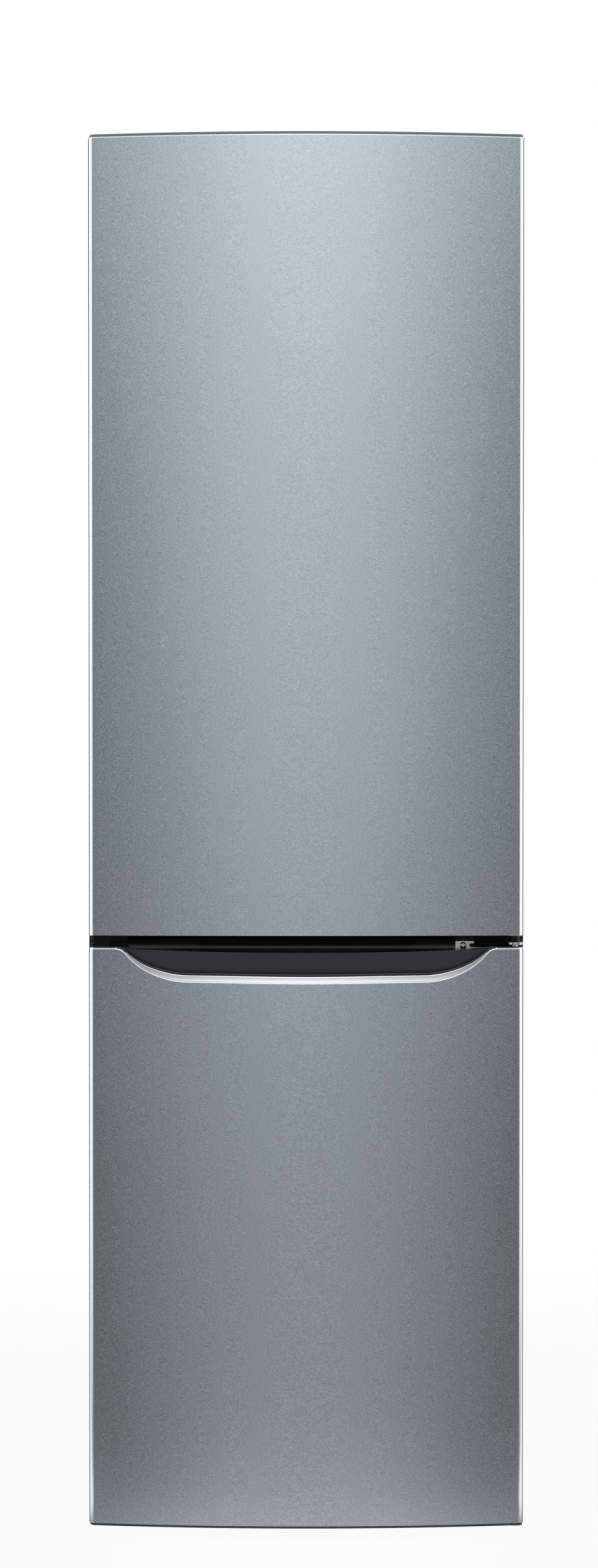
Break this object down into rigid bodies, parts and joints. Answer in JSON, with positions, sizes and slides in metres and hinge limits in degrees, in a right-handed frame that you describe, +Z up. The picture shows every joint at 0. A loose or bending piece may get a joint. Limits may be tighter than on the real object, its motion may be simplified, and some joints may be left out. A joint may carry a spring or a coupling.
{
  "type": "fridge freezer",
  "caption": "Tall free-standing fridge freezer with bowed steel doors hung on the right, a hand scoop in the lower door, inner shelves, drawers, door bins and a rear machine room.",
  "frame": {"origin": "centre of the overall box, at floor level", "axes": "+Z up, the doors face -Y, and the hinges are on the +X side"},
  "size_m": [0.595, 0.671, 1.9003],
  "materials": {
    "door_steel": "fine horizontal brushed steel with a clear coat",
    "end_cap_grey": "moulded satin plastic",
    "pocket_dark": "glossy moulded plastic",
    "bright_trim": "polished aluminium",
    "white_liner": "vacuum-formed polystyrene, light gloss",
    "insulation": "rigid insulation foam, closed cell",
    "gasket_rubber": "soft grey sealing profile",
    "shell_paint": "silver-grey powder coat",
    "hinge_steel": "zinc-plated pressed steel",
    "black_plastic": "fine-grained moulded plastic",
    "galvanised": "galvanised sheet",
    "compressor_black": "black stoved enamel",
    "mount_rubber": "moulded rubber",
    "coil_steel": "black painted steel tube",
    "fin_aluminium": "mill-finish aluminium",
    "clear_plastic": "clear moulded polystyrene",
    "shelf_glass": "toughened float glass",
    "lamp_diffuser": "opal lens",
    "nylon": "natural nylon",
    "button_grey": "satin moulded plastic"
  },
  "bodies": {
    "cabinet": {"air_duct": "white_liner", "back_panel": "galvanised", "base_tray": "galvanised", "bottom_hinge": "hinge_steel", "cabinet_shell": "shell_paint", "compressor": "compressor_black", "compressor_mounts": "mount_rubber", "condenser_coil": "coil_steel", "control_panel": "white_liner", "cord_gland": "black_plastic", "crisper_cover": "shelf_glass", "evaporator": "fin_aluminium", "evaporator_cover": "white_liner", "fan_motor": "black_plastic", "freezer_liner": "white_liner", "fridge_liner": "white_liner", "glass_shelf_1": "shelf_glass", "glass_shelf_2": "shelf_glass", "glass_shelf_3": "shelf_glass", "hinge_blank_plugs": "black_plastic", "hinge_screws": "hinge_steel", "insulation_foam": "insulation", "lamp_lens": "lamp_diffuser", "machine_bulkhead": "galvanised", "machine_cover": "black_plastic", "middle_hinge": "hinge_steel", "mullion_strip": "black_plastic", "shelf_trims": "bright_trim", "top_hinge": "hinge_steel", "top_hinge_cover": "black_plastic"},
    "fridge_door": {"fridge_door_bottom_cap": "pocket_dark", "fridge_door_bushes": "nylon", "fridge_door_foam": "insulation", "fridge_door_gasket": "gasket_rubber", "fridge_door_liner": "white_liner", "fridge_door_skin": "door_steel", "fridge_door_top_cap": "end_cap_grey"},
    "freezer_door": {"freezer_door_bottom_cap": "end_cap_grey", "freezer_door_bushes": "nylon", "freezer_door_foam": "insulation", "freezer_door_gasket": "gasket_rubber", "freezer_door_liner": "white_liner", "freezer_door_skin": "door_steel", "freezer_door_top_cap": "pocket_dark", "freezer_handle_trim": "bright_trim"},
    "fan_rotor": {"fan_rotor": "black_plastic"},
    "control_button_1": {"control_button_1": "button_grey"},
    "control_button_2": {"control_button_2": "button_grey"},
    "crisper_left": {"crisper_left": "clear_plastic"},
    "crisper_right": {"crisper_right": "clear_plastic"},
    "freezer_drawer_low": {"freezer_drawer_low": "clear_plastic"},
    "freezer_drawer_middle": {"freezer_drawer_middle": "clear_plastic"},
    "freezer_drawer_high": {"freezer_drawer_high": "clear_plastic"},
    "foot_left": {"foot_left": "black_plastic"},
    "foot_right": {"foot_right": "black_plastic"},
    "roller_left": {"roller_left": "nylon"},
    "roller_right": {"roller_right": "nylon"},
    "door_bin_low": {"door_bin_low": "clear_plastic"},
    "door_bin_middle": {"door_bin_middle": "clear_plastic"},
    "door_bin_high": {"door_bin_high": "clear_plastic"}
  },
  "joints": [
    {"name": "fridge_door_hinge", "type": "hinge", "parent": "cabinet", "child": "fridge_door", "pos_m": [0.284, -0.2915, 0.8135], "axis": [0, 0, 1], "range_deg": [0, 115]},
    {"name": "freezer_door_hinge", "type": "hinge", "parent": "cabinet", "child": "freezer_door", "pos_m": [0.284, -0.2915, 0.014], "axis": [0, 0, 1], "range_deg": [0, 115]},
    {"name": "crisper_left_slide", "type": "slide", "parent": "cabinet", "child": "crisper_left", "axis": [0, -1, 0], "range_m": [0, 0.25]},
    {"name": "crisper_right_slide", "type": "slide", "parent": "cabinet", "child": "crisper_right", "axis": [0, -1, 0], "range_m": [0, 0.25]},
    {"name": "freezer_drawer_low_slide", "type": "slide", "parent": "cabinet", "child": "freezer_drawer_low", "axis": [0, -1, 0], "range_m": [0, 0.2]},
    {"name": "freezer_drawer_middle_slide", "type": "slide", "parent": "cabinet", "child": "freezer_drawer_middle", "axis": [0, -1, 0], "range_m": [0, 0.2]},
    {"name": "freezer_drawer_high_slide", "type": "slide", "parent": "cabinet", "child": "freezer_drawer_high", "axis": [0, -1, 0], "range_m": [0, 0.2]},
    {"name": "door_bin_low_lift", "type": "slide", "parent": "fridge_door", "child": "door_bin_low", "axis": [0, 0, 1], "range_m": [0, 0.035]},
    {"name": "door_bin_middle_lift", "type": "slide", "parent": "fridge_door", "child": "door_bin_middle", "axis": [0, 0, 1], "range_m": [0, 0.035]},
    {"name": "door_bin_high_lift", "type": "slide", "parent": "fridge_door", "child": "door_bin_high", "axis": [0, 0, 1], "range_m": [0, 0.035]},
    {"name": "fan_spin", "type": "hinge", "parent": "cabinet", "child": "fan_rotor", "pos_m": [0, 0.2035, 0.68525], "axis": [0, 1, 0], "continuous": true},
    {"name": "control_button_1_press", "type": "slide", "parent": "cabinet", "child": "control_button_1", "axis": [0, 1, 0], "range_m": [0, 0.0012], "stiffness_N_per_m": 400},
    {"name": "control_button_2_press", "type": "slide", "parent": "cabinet", "child": "control_button_2", "axis": [0, 1, 0], "range_m": [0, 0.0012], "stiffness_N_per_m": 400},
    {"name": "foot_left_turn", "type": "hinge", "parent": "cabinet", "child": "foot_left", "pos_m": [-0.2355, -0.1985, 0], "axis": [0, 0, 1], "continuous": true},
    {"name": "roller_left_spin", "type": "hinge", "parent": "cabinet", "child": "roller_left", "pos_m": [-0.2225, 0.2795, 0.015], "axis": [1, 0, 0], "continuous": true},
    {"name": "foot_right_turn", "type": "hinge", "parent": "cabinet", "child": "foot_right", "pos_m": [0.2355, -0.1985, 0], "axis": [0, 0, 1], "continuous": true},
    {"name": "roller_right_spin", "type": "hinge", "parent": "cabinet", "child": "roller_right", "pos_m": [0.2225, 0.2795, 0.015], "axis": [1, 0, 0], "continuous": true}
  ],
  "couplings": [
    {"joint": "crisper_left_slide", "follows": "fridge_door_hinge", "m_per_rad": 0.105},
    {"joint": "crisper_right_slide", "follows": "fridge_door_hinge", "m_per_rad": 0.105},
    {"joint": "freezer_drawer_low_slide", "follows": "freezer_door_hinge", "m_per_rad": 0.085},
    {"joint": "freezer_drawer_middle_slide", "follows": "freezer_door_hinge", "m_per_rad": 0.085},
    {"joint": "freezer_drawer_high_slide", "follows": "freezer_door_hinge", "m_per_rad": 0.085}
  ]
}
